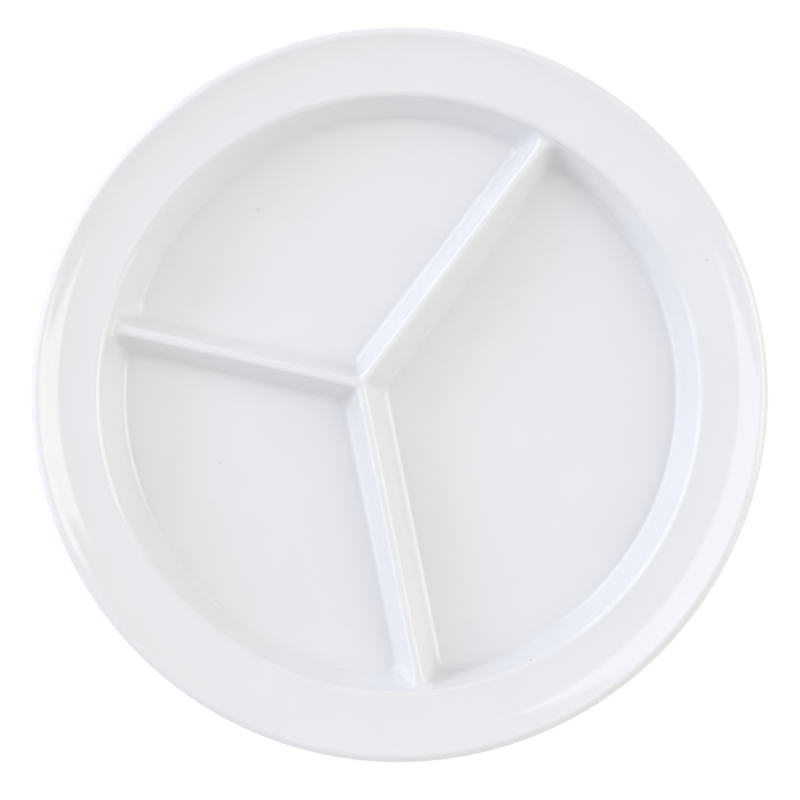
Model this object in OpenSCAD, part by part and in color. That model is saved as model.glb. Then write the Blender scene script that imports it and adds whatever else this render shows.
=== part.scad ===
// Divided compartment plate: a round moulded plate with a wide rim and one round well,
// which three drafted ribs divide into a main compartment and two side compartments.
// Millimetres, +Z up. The origin is on the table, under the centre of the plate.
// The middle rib runs towards -X, so the plate is symmetric about the XZ plane.

/* [Rim] */
// Outer diameter of the plate
plate_d = 260; // [220:1:300]
// Width of the whole rim, from the mouth of the well to the outer edge
rim_w = 24.2; // [18:0.1:34]
// Rise of the dished rim from the mouth of the well out to the hollow band
rim_rise = 1; // [0.4:0.1:2]
// Width of the hollow band that turns the rim up
upturn_w = 7.4; // [5:0.1:10]
// Rise of the hollow band over the slope that the dished rim ends with
upturn_rise = 0.8; // [0.4:0.1:1.6]
// Width of the rolled nose outside the hollow band
nose_w = 3.3; // [2.6:0.1:4.5]
// Height of the nose's flat underside over the lowest point of its round or of the rim's edge
nose_lift = 0.9; // [0.6:0.1:1.6]
// Radius of the round at the mouth of the well
mouth_round = 2.5; // [0.6:0.1:4]

/* [Well] */
// Depth of the well below the level inner edge of the rim
well_depth = 17; // [12:0.5:24]
// Thickness of the moulding
wall_t = 2.8; // [2.2:0.1:3.6]
// Lean of the side wall and of the rib flanks from upright, in degrees
draft = 20.5; // [12:0.5:27]
// Radius of the fillet between the floor and the side wall
wall_fillet = 2.2; // [1.5:0.1:4]

/* [Ribs] */
// Distance from the centre of the plate to the point where the ribs meet
hub_offset = 13.6; // [4:0.1:24]
// Angle from +X to each of the two forked ribs, in degrees
fork_angle = 65.8; // [55:0.2:75]
// Depth of the rib crests below the level inner edge of the rim
crest_drop = 3; // [2:0.1:6]
// Width of a rib at its crest, before rounding
crest_w = 3; // [2.6:0.1:4.6]
// Radius of the fillet between the floor and a rib
rib_fillet = 3; // [1.5:0.1:5]
// Radius of the rounds along a crest
crest_round = 1.5; // [0.8:0.1:2]
// Width of the groove under a rib, at its top
groove_w = 1.2; // [0.6:0.1:2]
// Clearance over the wall's fillet where the end of a rib meets it
end_gap = 0.02; // [0.02:0.01:0.2]
// Length of each arm of the hub beyond half the width of a rib
hub_arm = 3; // [1:0.5:10]

/* [Foot] */
// Height of the foot ring below the floor
foot_h = 1.6; // [1:0.1:3]
// Width of the foot ring
foot_w = 4; // [2.5:0.1:7]
// Radius of the rounds along the bottom of the foot ring
foot_round = 0.8; // [0.3:0.1:1]
// Distance from the fillet at the edge of the floor in to the foot ring
foot_inset = 1.5; // [0:0.1:6]

/* [Hidden] */

$fn = 144;
// Straight steps in each round of a profile
arc_steps = 8;
// Cool white of the moulding
melamine = [0.91, 0.92, 0.94];

// Directions of the ribs from the hub, the middle one pointing away from the fork,
// and the pair of ribs on either side of each compartment
right_rib = fork_angle;
left_rib = -fork_angle;
middle_rib = 180 + (left_rib + right_rib) / 2;
main_ribs = [left_rib, right_rib];
right_ribs = [right_rib, middle_rib];
left_ribs = [middle_rib, left_rib + 360];
hub = [-hub_offset, 0];

// Run of a drafted face per millimetre of height, and its thickness measured level
lean = tan(draft);
level_t = wall_t / cos(draft);
// Length that a round takes up on each of a drafted and a level face, per millimetre of radius
round_run = tan((90 - draft) / 2);

// Heights
floor_z = foot_h + wall_t;
rim_z = floor_z + well_depth;
rim_under_z = rim_z - wall_t;
crest_z = rim_z - crest_drop;

// Radii of the plate and of the well
plate_r = plate_d / 2;
mouth_r = plate_r - rim_w;
flat_rim_r = mouth_r + mouth_round * round_run;
floor_r = mouth_r - well_depth * lean;
flat_floor_r = floor_r - wall_fillet * round_run;
fillet_centre = [flat_floor_r, floor_z + wall_fillet];

// Rim: an arc that leaves the mouth of the well level, with one about the same centre beneath it
nose_r = plate_r - nose_w;
upturn_r = nose_r - upturn_w;
rim_run = upturn_r - flat_rim_r;
rim_turn = 2 * atan(rim_rise / rim_run);
rim_round = rim_run / sin(rim_turn);
rim_centre = [flat_rim_r, rim_z + rim_round];
rim_under_turn = asin(rim_run / (rim_round + wall_t));
rim_edge_z = rim_z + rim_rise;
rim_edge_under_z = rim_centre.y - (rim_round + wall_t) * cos(rim_under_turn);

// Rim edge: the hollow band is a closer arc that carries on from the rim, and the nose from the band
band_rise = upturn_w * tan(rim_turn) + upturn_rise;
band_turn = 2 * atan(band_rise / upturn_w) - rim_turn;
band_round = upturn_w / (sin(band_turn) - sin(rim_turn));
band_centre = [upturn_r - band_round * sin(rim_turn), rim_edge_z + band_round * cos(rim_turn)];
nose_round = nose_w / (1 + sin(band_turn));
nose_centre = [plate_r - nose_round, rim_edge_z + band_rise - nose_round * cos(band_turn)];
nose_under_z = max(rim_edge_under_z, nose_centre.y - nose_round) + nose_lift;
nose_end = asin((nose_under_z - nose_centre.y) / nose_round);
under_round = norm([upturn_r, rim_edge_under_z] - band_centre);
under_from = asin((upturn_r - band_centre.x) / under_round);
under_turn = acos((band_centre.y - nose_under_z) / under_round);

// Ribs: half the width at the crest, at the floor and out to the ends of the fillets
crest_half = crest_w / 2;
rib_half = crest_half + (crest_z - floor_z) * lean;
strip_half = rib_half + rib_fillet * round_run;
groove_z = crest_z - (groove_w / 2 + level_t - crest_half) / lean;
arm_length = strip_half + hub_arm;
rib_length = mouth_r + hub_offset;
// Margin by which a cutting shape runs past what it cuts
past = 1;

// Points along an arc about a centre, from one angle to another, leaving out the first few
function arc(centre, radius, from, to, skip = 0) = [
    for (i = [skip : arc_steps])
        let (a = from + (to - from) * i / arc_steps)
        centre + radius * [cos(a), sin(a)]
];

// The points of one half of a symmetric section, followed by their mirror images
function both_halves(half) = concat(half, [for (i = [len(half) - 1 : -1 : 0]) [-half[i].x, half[i].y]]);

// Angle about the plate's axis at which the middle of a rib meets the edge of the floor
function rib_end_angle(rib) =
    let (
        along = [cos(rib), sin(rib)],
        back = hub * along,
        reach = sqrt(back * back - hub * hub + floor_r * floor_r) - back,
        end = hub + reach * along
    )
    atan2(end.y, end.x);

// Space inside the well, down to the table, out to the inner face of the wall
module well_space() {
    rotate_extrude()
        polygon(concat(
            [[0, 0], [flat_floor_r, 0]],
            arc(fillet_centre, wall_fillet, -90, -draft),
            [[mouth_r, rim_z], [0, rim_z]]
        ));
}

// Plan of a compartment between two ribs, clear of their fillets and open towards the wall
module compartment_plan(ribs) {
    middle = (ribs[0] + ribs[1]) / 2;
    half_angle = (ribs[1] - ribs[0]) / 2;
    apex = hub + strip_half / sin(half_angle) * [cos(middle), sin(middle)];
    far = 2 * plate_d;
    polygon([
        apex,
        apex + far * [cos(ribs[0]), sin(ribs[0])],
        apex + far * [cos(middle), sin(middle)],
        apex + far * [cos(ribs[1]), sin(ribs[1])]
    ]);
}

// Runs a section along a rib, from one distance to another away from the hub
module along_rib(rib, from, to) {
    translate([hub.x, hub.y, 0])
        rotate([0, 0, rib])
            translate([from, 0, 0])
                rotate([90, 0, 90])
                    linear_extrude(height = to - from)
                        children();
}

// Section of a rib without its groove: floor strip, fillets, flanks and rounded crest
module rib_section() {
    polygon(both_halves(concat(
        [[strip_half, floor_z - wall_t]],
        arc([strip_half, floor_z + rib_fillet], rib_fillet, 270, 180 + draft),
        arc([crest_half - crest_round * round_run, crest_z - crest_round], crest_round, draft, 90)
    )));
}

// Section of the groove under a rib, one moulding thickness inside the rib's surface
module groove_section() {
    polygon(both_halves(concat(
        [[strip_half, floor_z - wall_t - past]],
        arc([strip_half, floor_z + rib_fillet], rib_fillet + wall_t, 270, 180 + draft),
        [[groove_w / 2, groove_z]]
    )));
}

// Dished ring round the mouth of the well
module rim() {
    color(melamine)
        rotate_extrude()
            polygon(concat(
                arc(rim_centre, rim_round, -90, rim_turn - 90),
                arc(rim_centre, rim_round + wall_t, rim_under_turn - 90, -90)
            ));
}

// Hollow band that turns the rim up, and its rolled nose
module rim_lip() {
    color(melamine)
        rotate_extrude()
            polygon(concat(
                arc(band_centre, band_round, rim_turn - 90, band_turn - 90),
                arc(nose_centre, nose_round, 90 + band_turn, nose_end, skip = 1),
                arc(band_centre, under_round, under_turn - 90, under_from - 90)
            ));
}

// Side wall of one compartment, with the fillet at its foot and the rounded mouth of the well
module wall(ribs) {
    start = rib_end_angle(ribs[0]);
    sweep = (rib_end_angle(ribs[1]) - start + 360) % 360;
    color(melamine)
        rotate([0, 0, start])
            rotate_extrude(angle = sweep)
                polygon(concat(
                    arc(fillet_centre, wall_fillet, -90, -draft),
                    arc([flat_rim_r, rim_z - mouth_round], mouth_round, 180 - draft, 90),
                    [[flat_rim_r, rim_under_z], [mouth_r + wall_t * round_run, rim_under_z]],
                    arc(fillet_centre, wall_fillet + wall_t, -draft, -90)
                ));
}

// Flat floor of one compartment
module compartment_floor(ribs) {
    color(melamine)
        translate([0, 0, floor_z - wall_t])
            linear_extrude(height = wall_t)
                intersection() {
                    circle(r = flat_floor_r);
                    compartment_plan(ribs);
                }
}

// Rib between two compartments, from an arm of the hub to the wall, hollow underneath
module divider(rib) {
    color(melamine)
        difference() {
            intersection() {
                translate([0, 0, end_gap])
                    well_space();
                along_rib(rib, arm_length, rib_length)
                    rib_section();
            }
            along_rib(rib, arm_length - past, rib_length + past)
                groove_section();
        }
}

// Junction of the three ribs, one short arm each
module divider_hub() {
    color(melamine)
        difference() {
            for (rib = [right_rib, middle_rib, left_rib])
                along_rib(rib, 0, arm_length)
                    rib_section();
            for (rib = [right_rib, middle_rib, left_rib])
                along_rib(rib, 0, arm_length + past)
                    groove_section();
        }
}

// Arc of the foot ring under the floor of one compartment
module foot(ribs) {
    outer_r = flat_floor_r - foot_inset;
    inner_r = outer_r - foot_w;
    color(melamine)
        intersection() {
            rotate_extrude()
                polygon(concat(
                    [[inner_r, foot_h]],
                    arc([inner_r + foot_round, foot_round], foot_round, 180, 270),
                    arc([outer_r - foot_round, foot_round], foot_round, 270, 360),
                    [[outer_r, foot_h]]
                ));
            linear_extrude(height = foot_h)
                compartment_plan(ribs);
        }
}

rim();
rim_lip();
wall(main_ribs);  // main_wall
wall(right_ribs);  // right_wall
wall(left_ribs);  // left_wall
compartment_floor(main_ribs);  // main_floor
compartment_floor(right_ribs);  // right_floor
compartment_floor(left_ribs);  // left_floor
divider(right_rib);  // right_divider
divider(middle_rib);  // middle_divider
divider(left_rib);  // left_divider
divider_hub();
foot(main_ribs);  // main_foot
foot(right_ribs);  // right_foot
foot(left_ribs);  // left_foot
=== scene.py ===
"""Divided compartment plate: its visible pieces, their material, the light and the camera."""

import math

import bpy
import numpy as np
from mathutils import Matrix, Vector


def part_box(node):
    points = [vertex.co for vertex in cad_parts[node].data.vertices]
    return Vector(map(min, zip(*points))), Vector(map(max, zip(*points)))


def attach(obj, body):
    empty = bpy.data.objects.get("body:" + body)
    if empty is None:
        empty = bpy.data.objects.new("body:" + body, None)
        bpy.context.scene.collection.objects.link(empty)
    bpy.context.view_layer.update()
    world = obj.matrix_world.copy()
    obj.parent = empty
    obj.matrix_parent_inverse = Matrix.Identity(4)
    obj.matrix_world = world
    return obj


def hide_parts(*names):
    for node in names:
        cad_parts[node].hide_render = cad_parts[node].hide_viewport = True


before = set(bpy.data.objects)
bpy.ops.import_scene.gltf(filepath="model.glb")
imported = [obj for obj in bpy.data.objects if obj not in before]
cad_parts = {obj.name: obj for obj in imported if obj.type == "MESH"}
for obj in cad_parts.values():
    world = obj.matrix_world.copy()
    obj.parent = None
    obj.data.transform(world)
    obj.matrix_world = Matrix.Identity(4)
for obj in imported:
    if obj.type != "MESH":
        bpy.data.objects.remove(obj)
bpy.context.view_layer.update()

MM = 0.001
QUARTER, FULL_TURN = math.pi / 2, 2 * math.pi
# A length or a difference below this counts as nothing
TINY = 1e-12


def node_box(node):
    """Lowest and highest corner of a CAD node, in millimetres."""
    low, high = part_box(node)
    return np.array(low) / MM, np.array(high) / MM


# Driving sizes in millimetres and degrees, the same as those of the solids
RIM_W, RIM_RISE = 24.2, 1.0
UPTURN_RISE = 0.8
NOSE_W, NOSE_LIFT = 3.3, 0.9
MOUTH_ROUND = 2.5
DRAFT = math.radians(20.5)
WALL_FILLET, RIB_FILLET = 2.2, 3.0
HUB = np.array([-13.6, 0.0])
FORK_ANGLE = 65.8
CREST_W, CREST_ROUND = 3.0, 1.5
GROOVE_W = 1.2
FOOT_W, FOOT_ROUND = 4.0, 0.8

# Softness of the inner corners in plan, at the hub and at the ends of the ribs
HUB_SOFT_FLOOR, HUB_SOFT_CREST = 2.0, 0.9
END_SOFT_FLOOR, END_SOFT_CREST = 4.5, 5.5
CREST_END_SOFT = 1.3
# Room kept between the foot of a drafted face and the flat floor
EASE = 4.0

# Heights and radii read from the solids
RIM_LOW, RIM_HIGH = node_box("rim")
FLOOR_LOW, FLOOR_HIGH = node_box("main_floor")
HUB_LOW, HUB_HIGH = node_box("divider_hub")
LIP_HIGH, WALL_HIGH, FOOT_HIGH = (node_box(n)[1] for n in ("rim_lip", "main_wall", "main_foot"))
PLATE_R, UPTURN_R, FOOT_R = LIP_HIGH[0], RIM_HIGH[0], FOOT_HIGH[0]
RIM_Z, RIM_UNDER_Z = WALL_HIGH[2], RIM_LOW[2]
FLOOR_Z, FLOOR_UNDER_Z = FLOOR_HIGH[2], FLOOR_LOW[2]
CREST_Z = HUB_HIGH[2]
ARM_LENGTH = HUB[0] - HUB_LOW[0]
WALL_T = FLOOR_Z - FLOOR_UNDER_Z

# Derived sizes of the drafted faces. Plan distances count from the foot of a face and are
# positive over the floor
LEAN = math.tan(DRAFT)
ROUND_RUN = math.tan(math.pi / 4 - DRAFT / 2)
LEVEL_T = WALL_T / math.cos(DRAFT)
MOUTH_R = PLATE_R - RIM_W
WALL_FOOT_R = MOUTH_R - (RIM_Z - FLOOR_Z) * LEAN
FLOOR_R = WALL_FOOT_R - EASE
CREST_RUN = (CREST_Z - FLOOR_Z) * LEAN
RIB_HALF = CREST_W / 2 + CREST_RUN
STRIP_HALF = RIB_HALF + EASE
GROOVE_Z = FLOOR_Z + (RIB_HALF - GROOVE_W / 2 - LEVEL_T) / LEAN

# Derived sizes of the dished rim, whose top and underside are arcs about one centre
FLAT_RIM_R = MOUTH_R + MOUTH_ROUND * ROUND_RUN
RIM_RUN = UPTURN_R - FLAT_RIM_R
RIM_TURN = 2 * math.atan(RIM_RISE / RIM_RUN)
RIM_ROUND = RIM_RUN / math.sin(RIM_TURN)
RIM_UNDER_ROUND = RIM_ROUND + WALL_T
RIM_CENTRE = (FLAT_RIM_R, RIM_Z + RIM_ROUND)
RIM_UNDER_TURN = math.asin(RIM_RUN / RIM_UNDER_ROUND)
RIM_EDGE_Z = RIM_Z + RIM_RISE
RIM_EDGE_UNDER_Z = RIM_CENTRE[1] - RIM_UNDER_ROUND * math.cos(RIM_UNDER_TURN)

# Directions of the ribs about the hub, and the pair of ribs beside each compartment
RIBS = {"right": FORK_ANGLE, "middle": 180.0, "left": 360.0 - FORK_ANGLE}
COMPARTMENTS = {
    "main": (RIBS["left"] - 360, RIBS["right"]),
    "right": (RIBS["right"], RIBS["middle"]),
    "left": (RIBS["middle"], RIBS["left"]),
}

# Fineness of the meshes: steps in a round, up a face, over the ease, along a rib, in a full turn
ROUND_STEPS, FACE_STEPS, EASE_STEPS, RUN_STEPS = 9, 10, 3, 8
TURN_STEPS = 288
# Step over which a slope is taken, and the decimals to which joined points agree
SLOPE_STEP = 0.004
JOIN_DECIMALS = 6


def direction(degrees):
    """Unit vector in plan at an angle."""
    return np.array([math.cos(math.radians(degrees)), math.sin(math.radians(degrees))])


def leftward(along):
    """A plan vector turned by a quarter to its left."""
    return np.array([-along[1], along[0]])


def cross(a, b):
    """Cross product of plan vectors."""
    return a[..., 0] * b[..., 1] - a[..., 1] * b[..., 0]


def soft_min(a, b, width):
    """The smaller of two distances, rounded off where they differ by less than the width."""
    near = np.clip(1 - np.abs(a - b) / np.maximum(width, TINY), 0, 1)
    return np.minimum(a, b) - width * near**2 / 4


def corner_width(a, b, at_floor, at_crest):
    """Softness of a corner at the height of the nearer of its two faces."""
    share = np.clip(-np.minimum(a, b) / CREST_RUN, 0, 1)
    return at_floor + (at_crest - at_floor) * share


def round_top(s, top, radius):
    """A distance that stops falling at a level, with a round of a radius at the upper edge."""
    stop = -(top - FLOOR_Z) * LEAN
    centre = stop - radius * ROUND_RUN
    arc = top - radius + np.sqrt(np.maximum(radius**2 - (s - centre) ** 2, 0))
    rounded = np.where(s < centre + radius * math.cos(DRAFT), -(arc - FLOOR_Z) * LEAN, s)
    return np.where(s < centre, stop, rounded)


def profile_height(s, fillet, inset=0.0):
    """Height of a drafted face with a fillet at its foot, or of a surface at an inset under it."""
    run, radius = fillet * ROUND_RUN, fillet + inset
    arc = FLOOR_Z + fillet - np.sqrt(np.maximum(radius**2 - (s - run) ** 2, 0))
    face = FLOOR_Z - (s + inset / math.cos(DRAFT)) / LEAN
    curved = np.where(s > run - radius * math.cos(DRAFT), arc, face)
    return np.where(s > run, FLOOR_Z - inset, curved)


def as_wall_distance(rib):
    """Distance from the wall at which the wall is as high as the rib is at a distance from it."""
    rise = profile_height(rib, RIB_FILLET) - FLOOR_Z
    run = WALL_FILLET * ROUND_RUN
    arc = run - np.sqrt(np.maximum(WALL_FILLET**2 - (WALL_FILLET - rise) ** 2, 0))
    raised = np.where(rise < WALL_FILLET * (1 - math.sin(DRAFT)), arc, -rise * LEAN)
    return np.where(rise > 0, raised, run + rib - RIB_FILLET * ROUND_RUN)


def rib_distance(points, ribs):
    """Plan distance to the nearer rib of a compartment, with its corner at the hub rounded."""
    arm = points - HUB
    first = cross(direction(ribs[0]), arm) - RIB_HALF
    second = cross(arm, direction(ribs[1])) - RIB_HALF
    return soft_min(first, second, corner_width(first, second, HUB_SOFT_FLOOR, HUB_SOFT_CREST))


def in_compartment(points, ribs):
    """Whether plan points lie between the middles of two ribs."""
    arm = points - HUB
    turn = np.degrees(np.arctan2(arm[..., 1], arm[..., 0]))
    return (turn - ribs[0]) % 360 <= (ribs[1] - ribs[0]) % 360


def by_compartment(points, height):
    """A height worked out from the ribs of the compartment that each point lies in."""
    result = np.zeros(points.shape[:-1])
    for ribs in COMPARTMENTS.values():
        result = np.where(in_compartment(points, ribs), height(points, ribs), result)
    return result


def compartment_top(points, ribs):
    """Height of the top of the moulding in and around a compartment."""
    wall = WALL_FOOT_R - np.hypot(points[..., 0], points[..., 1])
    rib = as_wall_distance(rib_distance(points, ribs))
    corner = soft_min(rib, wall, corner_width(rib, wall, END_SOFT_FLOOR, END_SOFT_CREST))
    crest = round_top(corner, CREST_Z, CREST_ROUND)
    over_rib = np.clip(wall - corner, 0, 1)
    s = soft_min(crest, wall, CREST_END_SOFT * over_rib)
    return profile_height(round_top(s, RIM_Z, MOUTH_ROUND), WALL_FILLET)


def compartment_under(points, ribs):
    """Height of the underside of the moulding, with the grooves beneath the ribs."""
    radius = np.hypot(points[..., 0], points[..., 1])
    outer = profile_height(WALL_FOOT_R - radius, WALL_FILLET, WALL_T)
    groove = profile_height(rib_distance(points, ribs), RIB_FILLET, WALL_T)
    groove_end = FLOOR_UNDER_Z + np.maximum(FLOOR_R - radius, 0) / LEAN
    groove = np.minimum(np.minimum(groove, GROOVE_Z), groove_end)
    return np.minimum(np.maximum(outer, groove), RIM_UNDER_Z)


def top_height(points):
    return by_compartment(points, compartment_top)


def under_height(points):
    return by_compartment(points, compartment_under)


def slope_normals(points, height, sign):
    """Upward or downward unit normals of a height over the plan."""
    dx, dy = np.array([SLOPE_STEP, 0]), np.array([0, SLOPE_STEP])
    slope_x = (height(points + dx) - height(points - dx)) / (2 * SLOPE_STEP)
    slope_y = (height(points + dy) - height(points - dy)) / (2 * SLOPE_STEP)
    normals = sign * np.stack([-slope_x, -slope_y, np.ones_like(slope_x)], axis=-1)
    return normals / np.linalg.norm(normals, axis=-1, keepdims=True)


def make_piece(name, vertices, faces, normals, node):
    """A closed mesh from points in millimetres, with a normal for each corner of each face."""
    mesh = bpy.data.meshes.new(name)
    mesh.from_pydata((np.asarray(vertices) * MM).tolist(), [], faces)
    mesh.polygons.foreach_set("use_smooth", [True] * len(faces))
    mesh.normals_split_custom_set([tuple(n) for n in normals])
    mesh.update()
    piece = bpy.data.objects.new(name, mesh)
    bpy.context.scene.collection.objects.link(piece)
    mesh.materials.append(MELAMINE)
    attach(piece, "root")
    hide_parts(node)


def flat_normal(a, b, c):
    """Unit normal of the plane through three points."""
    normal = np.cross(b - a, c - a)
    return normal / max(np.linalg.norm(normal), TINY)


def plan_solid(name, node, points, cells):
    """A solid between the moulding's underside and top, over counterclockwise plan cells."""
    points = np.asarray(points)
    count = len(points)
    top = np.column_stack([points, top_height(points)])
    under = np.column_stack([points, under_height(points)])
    vertices = np.vstack([top, under])
    up = slope_normals(points, top_height, 1)
    down = slope_normals(points, under_height, -1)
    faces, normals = [], []
    for cell in cells:
        faces.append(list(cell))
        normals.extend(up[i] for i in cell)
        faces.append([i + count for i in reversed(cell)])
        normals.extend(down[i] for i in reversed(cell))
    edges = {edge for cell in cells for edge in zip(cell, [*cell[1:], cell[0]])}
    for a, b in sorted(edges):
        if (b, a) not in edges:
            side = [a, a + count, b + count, b]
            faces.append(side)
            normals.extend([flat_normal(*vertices[side[:3]])] * 4)
    make_piece(name, vertices, faces, normals, node)


def join_grids(grids):
    """Points and counterclockwise cells of grids of plan points, with shared points joined."""
    points, cells, index = [], [], {}
    for grid in grids:
        ids = np.zeros(grid.shape[:2], int)
        for place in np.ndindex(ids.shape):
            key = tuple(np.round(grid[place], JOIN_DECIMALS))
            if key not in index:
                index[key] = len(points)
                points.append(grid[place])
            ids[place] = index[key]
        for i, j in np.ndindex(ids.shape[0] - 1, ids.shape[1] - 1):
            cell = [ids[i, j], ids[i + 1, j], ids[i + 1, j + 1], ids[i, j + 1]]
            cells.append(list(dict.fromkeys(int(c) for c in cell)))
    return points, cells


def face_samples(fillet, top, radius):
    """Plan distances along a drafted face, from the flat floor to the end of its top round."""
    turn = np.linspace(0, QUARTER - DRAFT, ROUND_STEPS)
    run = fillet * ROUND_RUN
    stop = -(top - FLOOR_Z) * LEAN - radius * ROUND_RUN
    foot = run - fillet * np.sin(turn)
    crown = stop + radius * np.sin(turn[::-1])
    face = np.linspace(foot[-1], crown[0], FACE_STEPS)
    ease = np.linspace(EASE, run, EASE_STEPS)
    return np.concatenate([ease[:-1], foot[:-1], face[:-1], crown])


def rib_offsets():
    """Distances from the middle of a rib to one side of it, out to the edge of its strip."""
    face = face_samples(RIB_FILLET, CREST_Z, CREST_ROUND)
    return np.concatenate([[0.0], RIB_HALF + face[::-1]])


def both_sides(offsets):
    """Offsets across a whole rib, from its right edge to its left edge."""
    return np.concatenate([-offsets[:0:-1], offsets])


def on_circle(rib, offset, radius):
    """Where a line beside a rib, at an offset to its left, meets a circle about the axis."""
    along = direction(rib)
    start = HUB + offset * leftward(along)
    back = start @ along
    return start + (math.sqrt(back**2 - start @ start + radius**2) - back) * along


def arc_between(first, last):
    """Angle at which an arc about the axis starts, and its sweep counterclockwise."""
    start = math.atan2(first[1], first[0])
    return start, (math.atan2(last[1], last[0]) - start) % FULL_TURN


def between_angles(first, last, steps):
    """Points on a circle between two of its points, counterclockwise, without the two."""
    radius = np.hypot(*first)
    start, sweep = arc_between(first, last)
    turns = start + sweep * np.linspace(0, 1, steps + 1)[1:-1]
    return [radius * np.array([math.cos(t), math.sin(t)]) for t in turns]


def wall_row(ribs, radius):
    """Plan points of a compartment's wall at one radius, from the middle of a rib to the next."""
    offsets = rib_offsets()
    first = [on_circle(ribs[0], o, radius) for o in offsets]
    last = [on_circle(ribs[1], -o, radius) for o in offsets[::-1]]
    steps = round((ribs[1] - ribs[0]) / 360 * TURN_STEPS)
    return first + between_angles(first[-1], last[0], steps) + last


def make_wall(compartment):
    ribs = COMPARTMENTS[compartment]
    radii = WALL_FOOT_R - face_samples(WALL_FILLET, RIM_Z, MOUTH_ROUND)
    grid = np.array([wall_row(ribs, r) for r in radii])
    plan_solid(compartment + "_wall_skin", compartment + "_wall", *join_grids([grid]))


def make_floor(compartment):
    ribs = COMPARTMENTS[compartment]
    inner = len(rib_offsets()) - 1
    row = wall_row(ribs, FLOOR_R)[inner:-inner]
    half = math.radians((ribs[1] - ribs[0]) / 2)
    apex = HUB + STRIP_HALF / math.sin(half) * direction((ribs[0] + ribs[1]) / 2)
    points = [apex, *row]
    cell = list(range(len(points)))
    plan_solid(compartment + "_floor_skin", compartment + "_floor", points, [cell])


def make_divider(name, rib):
    along = direction(rib)
    end_radii = FLOOR_R - np.linspace(GROOVE_Z * LEAN, 0, RUN_STEPS)
    rows = []
    for offset in both_sides(rib_offsets()):
        start = HUB + ARM_LENGTH * along + offset * leftward(along)
        ends = [on_circle(rib, offset, r) for r in end_radii]
        shares = np.linspace(0, 1, RUN_STEPS)[:-1]
        rows.append([start + (ends[0] - start) * share for share in shares] + ends)
    grid = np.array(rows).transpose(1, 0, 2)
    plan_solid(name + "_divider_skin", name + "_divider", *join_grids([grid]))


def hub_arm(rib, next_turn, last_turn):
    """Grid of an arm of the hub, from the lines half way to the neighbouring ribs to its end."""
    along = direction(rib)
    rows = []
    for offset in both_sides(rib_offsets()):
        turn = next_turn if offset > 0 else last_turn
        inner = abs(offset) / math.tan(math.radians(turn / 2))
        reach = np.linspace(inner, ARM_LENGTH, RUN_STEPS)
        rows.append([HUB + x * along + offset * leftward(along) for x in reach])
    return np.array(rows).transpose(1, 0, 2)


def make_hub():
    angles = list(RIBS.values())
    grids = []
    for i, rib in enumerate(angles):
        next_turn = (angles[(i + 1) % len(angles)] - rib) % 360
        last_turn = (rib - angles[i - 1]) % 360
        grids.append(hub_arm(rib, next_turn, last_turn))
    plan_solid("divider_hub_skin", "divider_hub", *join_grids(grids))


def arc_run(centre, radius, start, end, steps, outward=1):
    """Points of an arc in a profile and their normals, away from the centre or towards it."""
    turns = np.linspace(start, end, steps + 1)
    normals = np.column_stack([np.cos(turns), np.sin(turns)])
    return np.asarray(centre) + radius * normals, outward * normals


def line_run(start, end):
    """A straight run of a counterclockwise profile, with its outward normals."""
    start, end = np.asarray(start), np.asarray(end)
    step = (end - start) / np.linalg.norm(end - start)
    return np.array([start, end]), np.array([[step[1], -step[0]]] * 2)


def turned(normal, t):
    """A normal of a profile, turned about the plate's axis."""
    return [normal[0] * math.cos(t), normal[0] * math.sin(t), normal[1]]


def swept_sides(runs, turns, full):
    """Faces between the rings of a swept profile, and the normals of their corners."""
    ends = [pair for _, out in runs for pair in zip(out, out[1:])]
    loop, rings = len(ends), len(turns)
    faces, normals = [], []
    for here in range(rings if full else rings - 1):
        there = (here + 1) % rings
        for a, (first, last) in enumerate(ends):
            b = (a + 1) % loop
            corners = [(here, a), (there, a), (there, b), (here, b)]
            faces.append([ring * loop + i for ring, i in corners])
            normals += [turned(first, turns[here]), turned(first, turns[there])]
            normals += [turned(last, turns[there]), turned(last, turns[here])]
    return faces, normals


def swept(name, node, runs, start, sweep):
    """A counterclockwise profile of runs swept about the axis, by a full turn or less."""
    full = abs(sweep - FULL_TURN) < TINY
    steps = max(round(sweep / FULL_TURN * TURN_STEPS), 1)
    turns = start + sweep * np.arange(steps if full else steps + 1) / steps
    profile = np.vstack([points[:-1] for points, _ in runs])
    loop, rings = len(profile), len(turns)
    vertices = [[r * math.cos(t), r * math.sin(t), z] for t in turns for r, z in profile]
    faces, normals = swept_sides(runs, turns, full)
    if not full:
        faces.append(list(range(loop)))
        normals += [[math.sin(turns[0]), -math.cos(turns[0]), 0]] * loop
        faces.append([(rings - 1) * loop + i for i in reversed(range(loop))])
        normals += [[-math.sin(turns[-1]), math.cos(turns[-1]), 0]] * loop
    make_piece(name, vertices, faces, normals, node)


def make_rim():
    """Dished ring that leaves the mouth of the well level and rises to the lip."""
    steps = 2 * ROUND_STEPS
    under_end = RIM_UNDER_TURN - QUARTER
    under = arc_run(RIM_CENTRE, RIM_UNDER_ROUND, -QUARTER, under_end, steps)
    top = arc_run(RIM_CENTRE, RIM_ROUND, RIM_TURN - QUARTER, -QUARTER, steps, -1)
    runs = [under, line_run(under[0][-1], top[0][0]), top, line_run(top[0][-1], under[0][0])]
    swept("rim_skin", "rim", runs, 0, FULL_TURN)


def lip_band():
    """Centre, radius, end angle and rise of the band's arc, which carries on from the rim."""
    width = PLATE_R - NOSE_W - UPTURN_R
    rise = width * math.tan(RIM_TURN) + UPTURN_RISE
    turn = 2 * math.atan(rise / width) - RIM_TURN
    radius = width / (math.sin(turn) - math.sin(RIM_TURN))
    upward = np.array([-math.sin(RIM_TURN), math.cos(RIM_TURN)])
    return np.array([UPTURN_R, RIM_EDGE_Z]) + radius * upward, radius, turn, rise


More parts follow.
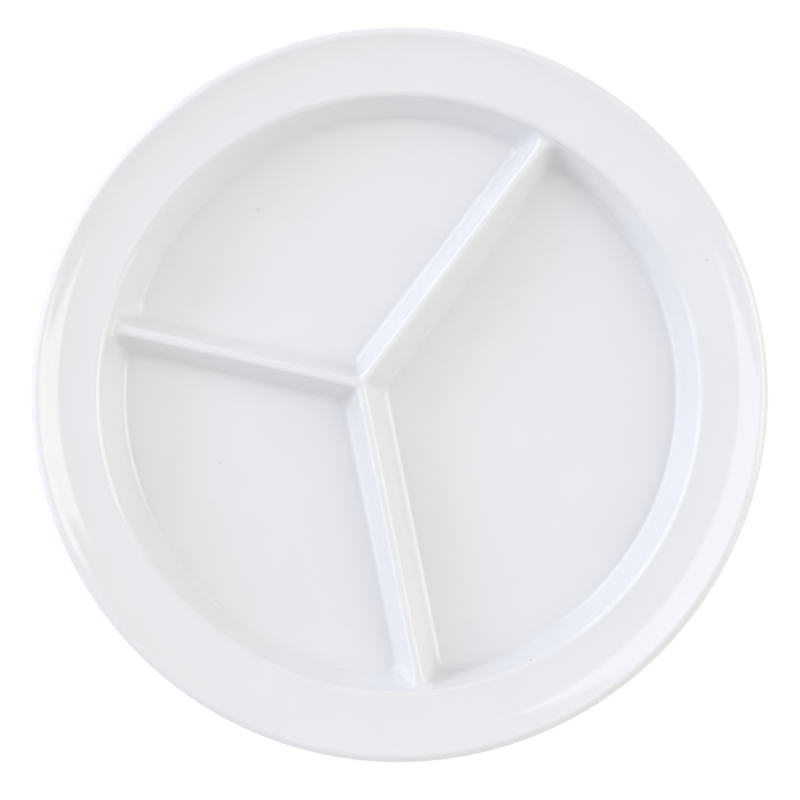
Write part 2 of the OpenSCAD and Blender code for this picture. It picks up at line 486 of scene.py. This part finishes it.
def make_lip():
    """Hollow band that carries on from the rim and turns up, and the rolled nose outside it."""
    band_centre, band_round, turn, rise = lip_band()
    nose_round = NOSE_W / (1 + math.sin(turn))
    nose_centre = (PLATE_R - nose_round, RIM_EDGE_Z + rise - nose_round * math.cos(turn))
    under_start = band_centre - [UPTURN_R, RIM_EDGE_UNDER_Z]
    under_round = np.hypot(*under_start)
    under_z = max(RIM_EDGE_UNDER_Z, nose_centre[1] - nose_round) + NOSE_LIFT
    under_from = math.asin(-under_start[0] / under_round) - QUARTER
    under_end = math.acos((band_centre[1] - under_z) / under_round) - QUARTER
    nose_from = math.asin((under_z - nose_centre[1]) / nose_round)
    band_ends = (turn - QUARTER, RIM_TURN - QUARTER)
    under = arc_run(band_centre, under_round, under_from, under_end, ROUND_STEPS)
    nose = arc_run(nose_centre, nose_round, nose_from, QUARTER + turn, 3 * ROUND_STEPS)
    band = arc_run(band_centre, band_round, *band_ends, 2 * ROUND_STEPS, -1)
    tip = line_run(under[0][-1], nose[0][0])
    seam = line_run(band[0][-1], under[0][0])
    swept("rim_lip_skin", "rim_lip", [under, tip, nose, band, seam], 0, FULL_TURN)


def make_foot(compartment):
    """Arc of the foot ring with rounded lower edges, clear of the ribs at both ends."""
    ribs = COMPARTMENTS[compartment]
    inner, top = FOOT_R - FOOT_W, FOOT_HIGH[2]
    middle = FOOT_R - FOOT_W / 2
    first = on_circle(ribs[0], STRIP_HALF, middle)
    last = on_circle(ribs[1], -STRIP_HALF, middle)
    inside_centre, outside_centre = inner + FOOT_ROUND, FOOT_R - FOOT_ROUND
    inside = arc_run(
        (inside_centre, FOOT_ROUND), FOOT_ROUND, 2 * QUARTER, 3 * QUARTER, ROUND_STEPS
    )
    outside = arc_run(
        (outside_centre, FOOT_ROUND), FOOT_ROUND, 3 * QUARTER, FULL_TURN, ROUND_STEPS
    )
    runs = [
        line_run((inner, top), inside[0][0]),
        inside,
        line_run(inside[0][-1], outside[0][0]),
        outside,
        line_run(outside[0][-1], (FOOT_R, top)),
        line_run((FOOT_R, top), (inner, top)),
    ]
    swept(compartment + "_foot_skin", compartment + "_foot", runs, *arc_between(first, last))


def node_tree(owner):
    """The empty node tree of a material or a world."""
    owner.use_nodes = True
    tree = owner.node_tree
    tree.nodes.clear()
    return tree


def add_node(tree, kind, **inputs):
    """A shader node with values or links on its named inputs."""
    node = tree.nodes.new(kind)
    for name, value in inputs.items():
        socket = node.inputs[name.replace("_", " ")]
        if isinstance(value, bpy.types.NodeSocket):
            tree.links.new(value, socket)
        else:
            socket.default_value = value
    return node


def ramp(tree, value, start, end):
    """A colour that goes from one to another between two places of a value."""
    node = add_node(tree, "ShaderNodeValToRGB", Fac=value)
    for stop, (position, color) in zip(node.color_ramp.elements, (start, end)):
        stop.position, stop.color = position, (*color, 1)
    return node.outputs["Color"]


def span(tree, value, given, wanted):
    """A value brought from one range to another and held at its ends."""
    node = add_node(tree, "ShaderNodeMapRange", Value=value)
    for name, pair in (("From", given), ("To", wanted)):
        node.inputs[name + " Min"].default_value, node.inputs[name + " Max"].default_value = pair
    return node.outputs["Result"]


def total(tree, *values, clamp=False):
    """The sum of some values, held between nought and one if it is clamped."""
    result = values[0]
    for value in values[1:]:
        node = add_node(tree, "ShaderNodeMath")
        node.operation, node.use_clamp = "ADD", clamp
        tree.links.new(result, node.inputs[0])
        tree.links.new(value, node.inputs[1])
        result = node.outputs["Value"]
    return result


def noise(tree, place, scale, detail, roughness=0.5):
    """A noise value with a number of waves to a metre."""
    inputs = {"Vector": place, "Scale": scale, "Detail": detail, "Roughness": roughness}
    return add_node(tree, "ShaderNodeTexNoise", **inputs).outputs["Fac"]


# Melamine: two near whites, and the range of the clouds' noise from one to the other
PALE, PALER = (0.877, 0.881, 0.895), (0.893, 0.897, 0.911)
CLOUD_RANGE = (0.3, 0.7)
WHITE = (1, 1, 1)
# Waves to a metre, detail and roughness of the clouds, and of the swell and peel of the skin
CLOUD, SWELL, PEEL = (38.0, 4.0, 0.55), (75.0, 1.0), (420.0, 2.0)
SWELL_BUMP, PEEL_BUMP, BUMP_DEPTH = 0.025, 0.03, 0.4 * MM
# Specks: cells to a metre, radius as a share of a cell, with a soft edge, and their colour
SPECK_SCALE, SPECK_CORE, SPECK_EDGE = 9.0, 0.0012, 0.0042
SPECK_COLOR = (0.66, 0.63, 0.58)
# Rub marks: waves to a metre along and across, detail, the noise values that count, how much
# rougher they are and their directions
SCUFF_LONG, SCUFF_FINE, SCUFF_DETAIL = 25.0, 1600.0, 1.0
SCUFF_SHARE, SCUFF_ROUGH = (0.6, 0.72), 0.05
SCUFF_TURNS = (0.35, 1.5, 2.5)
# Gloss of the skin, and how much rougher it is worn on the foot and along the top of the lip
GLOSS, MELAMINE_IOR = (0.06, 0.1), 1.66
FOOT_WORN, LIP_WORN = 0.3, 0.06
WEAR_DEPTH = 0.8 * MM


def scuffs(tree, place, turn):
    """Fine straight rub marks along one direction."""
    inputs = {"Rotation": (0, 0, turn), "Scale": (SCUFF_LONG, SCUFF_FINE, 1)}
    along = add_node(tree, "ShaderNodeMapping", Vector=place, **inputs)
    marks = noise(tree, along.outputs["Vector"], 1.0, SCUFF_DETAIL)
    return span(tree, marks, SCUFF_SHARE, (0, SCUFF_ROUGH))


def melamine_color(tree, place, cloud):
    """Faint clouds between two whites, with sparse specks."""
    speck = add_node(tree, "ShaderNodeTexVoronoi", Vector=place, Scale=SPECK_SCALE)
    speck.voronoi_dimensions = "2D"
    tint = add_node(
        tree,
        "ShaderNodeMixRGB",
        Fac=1.0,
        Color1=ramp(tree, cloud, (CLOUD_RANGE[0], PALE), (CLOUD_RANGE[1], PALER)),
        Color2=ramp(
            tree, speck.outputs["Distance"], (SPECK_CORE, SPECK_COLOR), (SPECK_EDGE, WHITE)
        ),
    )
    tint.blend_type = "MULTIPLY"
    return tint.outputs["Color"]


def melamine_roughness(tree, place, cloud):
    """Gloss that varies with the clouds, rub marks, and wear on the foot and the lip."""
    height = add_node(tree, "ShaderNodeSeparateXYZ", Vector=place).outputs["Z"]
    lip_top = LIP_HIGH[2] * MM
    return total(
        tree,
        span(tree, cloud, CLOUD_RANGE, GLOSS),
        span(tree, height, (0, WEAR_DEPTH), (FOOT_WORN, 0)),
        span(tree, height, (lip_top - WEAR_DEPTH, lip_top), (0, LIP_WORN)),
        *[scuffs(tree, place, turn) for turn in SCUFF_TURNS],
    )


def melamine_normal(tree, place):
    """The slight swell and peel of a moulded skin."""
    swell = add_node(tree, "ShaderNodeBump", Height=noise(tree, place, *SWELL))
    peel = add_node(tree, "ShaderNodeBump", Height=noise(tree, place, *PEEL))
    for bump, strength in ((swell, SWELL_BUMP), (peel, PEEL_BUMP)):
        bump.inputs["Strength"].default_value = strength
        bump.inputs["Distance"].default_value = BUMP_DEPTH
    tree.links.new(swell.outputs["Normal"], peel.inputs["Normal"])
    return peel.outputs["Normal"]


def melamine_material():
    """Glossy white melamine."""
    material = bpy.data.materials.new("melamine")
    tree = node_tree(material)
    place = add_node(tree, "ShaderNodeTexCoord").outputs["Object"]
    cloud = noise(tree, place, *CLOUD)
    surface = add_node(
        tree,
        "ShaderNodeBsdfPrincipled",
        Base_Color=melamine_color(tree, place, cloud),
        Roughness=melamine_roughness(tree, place, cloud),
        IOR=MELAMINE_IOR,
        Normal=melamine_normal(tree, place),
    )
    add_node(tree, "ShaderNodeOutputMaterial", Surface=surface.outputs["BSDF"])
    return material


# Turn of the picture's right edge about the plate's axis, in degrees
IMAGE_TURN = 13.0
# Turn of the picture's top and bottom edges from its right edge, and the angle of the horizon
IMAGE_TOP, IMAGE_BOTTOM, LEVEL = 90, 270, 90


def image_direction(degrees, polar):
    """Unit vector at a turn in the picture and an angle off vertical."""
    flat = direction(degrees + IMAGE_TURN) * math.sin(math.radians(polar))
    return Vector((flat[0], flat[1], math.cos(math.radians(polar))))


# Lamps: turn in the picture, angle off vertical, width and height in metres, radiance, colour
LAMP_DISTANCE = 4.0
LAMPS = {
    "left_window_high": (150, 35, 2.0, 2.75, 1.28, (0.95, 1.0, 1.07)),
    "left_window_low": (160, 67, 5.15, 1.85, 2.2, (0.93, 1.01, 1.14)),
    "right_window_high": (15, 21, 1.05, 1.0, 2.0, (1.03, 0.98, 0.8)),
    "right_window": (13, 39, 1.95, 1.55, 2.34, (1.01, 1.02, 0.97)),
    "right_window_low": (0, 63, 3.25, 1.85, 1.5, (1.01, 1.01, 0.84)),
    "front_lamp": (262, 68, 5.05, 1.9, 0.25, (1.05, 1.0, 0.9)),
}
# The dome: strength at the top and at the bottom of the picture, and colour
DOME_STRENGTH, DOME_COLOR = (0.5, 0.525), (0.985, 0.965, 1, 1)


def soft_lamp(name, turn, polar, width, height, radiance, color):
    """A rectangular lamp of a given radiance that faces the plate."""
    lamp = bpy.data.lights.new(name, "AREA")
    lamp.shape, lamp.size, lamp.size_y = "RECTANGLE", width, height
    lamp.energy = radiance * math.pi * width * height
    lamp.color = color
    holder = bpy.data.objects.new(name, lamp)
    bpy.context.scene.collection.objects.link(holder)
    towards = image_direction(turn, polar)
    holder.location = towards * LAMP_DISTANCE
    holder.rotation_mode = "QUATERNION"
    holder.rotation_quaternion = towards.to_track_quat("Z", "Y")
    holder.visible_camera = False


def make_dome():
    """An even world light, a little stronger towards the bottom of the picture."""
    world = bpy.data.worlds.new("dome")
    bpy.context.scene.world = world
    tree = node_tree(world)
    place = add_node(tree, "ShaderNodeTexCoord").outputs["Generated"]
    along = add_node(tree, "ShaderNodeVectorMath", Vector=place)
    along.operation = "DOT_PRODUCT"
    along.inputs[1].default_value = image_direction(IMAGE_BOTTOM, LEVEL)
    strength = span(tree, along.outputs["Value"], (-1, 1), DOME_STRENGTH)
    light = add_node(tree, "ShaderNodeBackground", Color=DOME_COLOR, Strength=strength)
    add_node(tree, "ShaderNodeOutputWorld", Surface=light.outputs["Background"])


def make_lights():
    """Cool panes on the left, warmer ones on the right, a weak lamp in front, and a dome."""
    for name, values in LAMPS.items():
        soft_lamp(name, *values)
    make_dome()


# The floor is flat out to a distance and then curves up by a radius, all in metres
COVE_START, COVE_ROUND = 5.0, 2.0
# Its colour, and how much brighter it looks than the light on it makes it
FLOOR_COLOR, FLOOR_LIFT = (0.8, 0.8, 0.8, 1), 0.5


def seen_white(tree):
    """One for what is seen straight, in a gloss or through glass, and nought for other light."""
    path = add_node(tree, "ShaderNodeLightPath")
    rays = ("Is Camera Ray", "Is Glossy Ray", "Is Transmission Ray")
    return total(tree, *[path.outputs[ray] for ray in rays], clamp=True)


def floor_material():
    """A pale matte that shows white to the camera and keeps the plate's shadow."""
    material = bpy.data.materials.new("studio_floor")
    tree = node_tree(material)
    matte = add_node(tree, "ShaderNodeBsdfDiffuse", Color=FLOOR_COLOR)
    lift = add_node(tree, "ShaderNodeMath", Value=seen_white(tree))
    lift.operation = "MULTIPLY"
    lift.inputs[1].default_value = FLOOR_LIFT
    strength = lift.outputs["Value"]
    glow = add_node(tree, "ShaderNodeEmission", Color=(*WHITE, 1), Strength=strength)
    both = add_node(tree, "ShaderNodeAddShader")
    tree.links.new(matte.outputs["BSDF"], both.inputs[0])
    tree.links.new(glow.outputs["Emission"], both.inputs[1])
    add_node(tree, "ShaderNodeOutputMaterial", Surface=both.outputs["Shader"])
    return material


def make_floor_plane():
    """Round floor whose edge curves up into a backdrop on all sides."""
    rises = np.linspace(0, QUARTER, ROUND_STEPS)
    curve = np.column_stack([np.sin(rises), 1 - np.cos(rises)])
    profile = np.array([COVE_START, 0]) + COVE_ROUND * curve
    spokes = np.linspace(0, FULL_TURN, TURN_STEPS, endpoint=False)
    vertices = [(r * math.cos(t), r * math.sin(t), z) for r, z in profile for t in spokes]
    faces = [list(range(TURN_STEPS))]
    for i, j in np.ndindex(len(profile) - 1, TURN_STEPS):
        here, there = i * TURN_STEPS, (i + 1) * TURN_STEPS
        after = (j + 1) % TURN_STEPS
        faces.append([here + j, there + j, there + after, here + after])
    mesh = bpy.data.meshes.new("studio_floor")
    mesh.from_pydata(vertices, [], faces)
    mesh.materials.append(floor_material())
    floor = bpy.data.objects.new("studio_floor", mesh)
    bpy.context.scene.collection.objects.link(floor)


# The camera stands a little off the plate's axis, towards the bottom of the picture. Angles are
# in degrees, distances in metres, and the lens and its sensor in millimetres
CAMERA_TURN, CAMERA_POLAR, CAMERA_DISTANCE = -64.2, 4.7, 1.1457
CAMERA_LENS, CAMERA_SENSOR = 146.3, 36.0
CAMERA_AIM = Vector((0.00133, -0.00284, 0.0225))


def make_camera():
    """Camera that looks down on the plate, with the picture's top edge up."""
    data = bpy.data.cameras.new("camera")
    data.sensor_width, data.lens = CAMERA_SENSOR, CAMERA_LENS
    camera = bpy.data.objects.new("camera", data)
    bpy.context.scene.collection.objects.link(camera)
    back = image_direction(CAMERA_TURN, CAMERA_POLAR)
    right = image_direction(IMAGE_TOP, LEVEL).cross(back).normalized()
    up = back.cross(right)
    turn = Matrix((right, up, back)).transposed().to_4x4()
    camera.matrix_world = Matrix.Translation(CAMERA_AIM + back * CAMERA_DISTANCE) @ turn
    bpy.context.scene.camera = camera


MELAMINE = melamine_material()
make_rim()
make_lip()
for part in COMPARTMENTS:
    make_wall(part)
    make_floor(part)
    make_foot(part)
for part, angle in RIBS.items():
    make_divider(part, angle)
make_hub()
make_floor_plane()
make_lights()
make_camera()
bpy.context.scene.view_settings.view_transform = "Standard"
